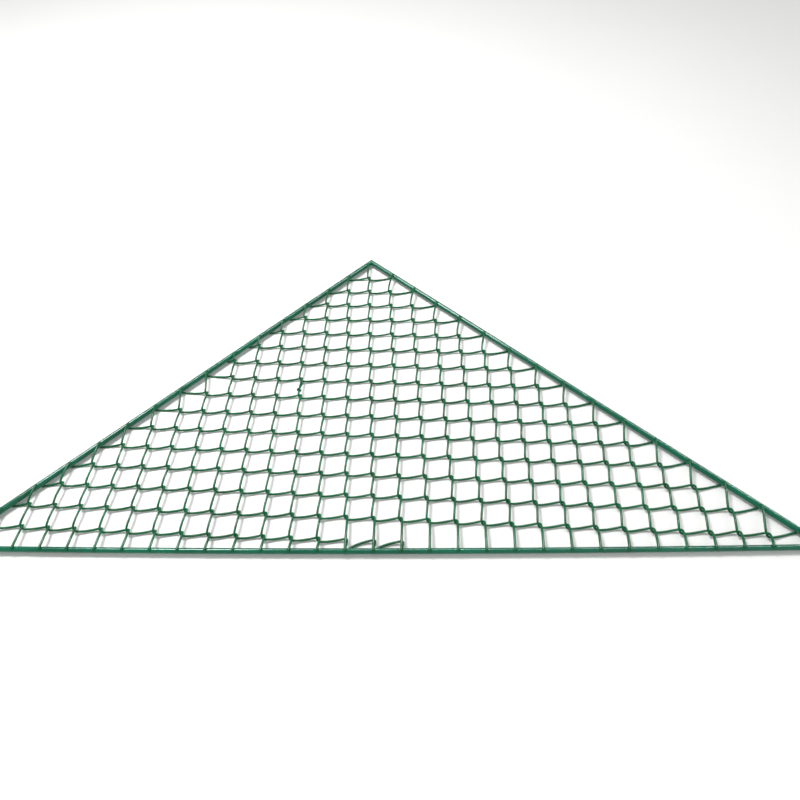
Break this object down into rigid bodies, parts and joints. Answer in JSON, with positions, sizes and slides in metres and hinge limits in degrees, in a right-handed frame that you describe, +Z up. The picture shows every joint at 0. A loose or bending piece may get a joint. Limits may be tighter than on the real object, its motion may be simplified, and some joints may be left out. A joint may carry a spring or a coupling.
{
  "type": "climbing net panel",
  "caption": "Triangular climbing net panel: a welded frame of coated round rods filled with interlocked diamond mesh wire.",
  "frame": {"origin": "on the surface the panel lies on, under the middle of its box", "axes": "+X along the base bar, +Y from the base bar to the opposite corner, +Z up out of the mesh"},
  "size_m": [1.572, 0.7954, 0.0298],
  "materials": {
    "rod_coating": "glossy green plastic coating on steel rod",
    "weld_coating": "glossy green coating over a low weld",
    "wire_coating": "satin green plastic coating on steel wire",
    "tie_coating": "satin green plastic coating on binding wire"
  },
  "bodies": {
    "root": {"rod_left": "rod_coating", "rod_right": "rod_coating", "bar_base": "rod_coating", "weld_top": "weld_coating", "weld_left": "weld_coating", "weld_right": "weld_coating", "wire_01_01": "wire_coating", "wire_01_02": "wire_coating", "wire_01_03": "wire_coating", "wire_01_04": "wire_coating", "wire_01_05": "wire_coating", "wire_01_06": "wire_coating", "wire_01_07": "wire_coating", "wire_01_08": "wire_coating", "wire_01_09": "wire_coating", "wire_01_10": "wire_coating", "wire_01_11": "wire_coating", "wire_01_12": "wire_coating", "wire_01_13": "wire_coating", "wire_01_14": "wire_coating", "wire_01_15": "wire_coating", "wire_01_16": "wire_coating", "wire_02": "wire_coating", "wire_03": "wire_coating", "wire_04": "wire_coating", "wire_05": "wire_coating", "wire_06": "wire_coating", "wire_07": "wire_coating", "wire_08": "wire_coating", "wire_09": "wire_coating", "wire_10": "wire_coating", "wire_11": "wire_coating", "wire_12": "wire_coating", "wire_13": "wire_coating", "wire_14": "wire_coating", "wire_15": "wire_coating", "wire_16_01": "wire_coating", "wire_16_02": "wire_coating", "wire_17_01": "wire_coating", "wire_17_02": "wire_coating", "wire_18": "wire_coating", "wire_19": "wire_coating", "wire_20": "wire_coating", "wire_21": "wire_coating", "wire_22": "wire_coating", "wire_23": "wire_coating", "wire_24": "wire_coating", "wire_25": "wire_coating", "wire_26": "wire_coating", "wire_27": "wire_coating", "wire_28": "wire_coating", "wire_29": "wire_coating", "wire_30": "wire_coating", "wire_31": "wire_coating", "tie_wire": "tie_coating"}
  },
  "joints": []
}
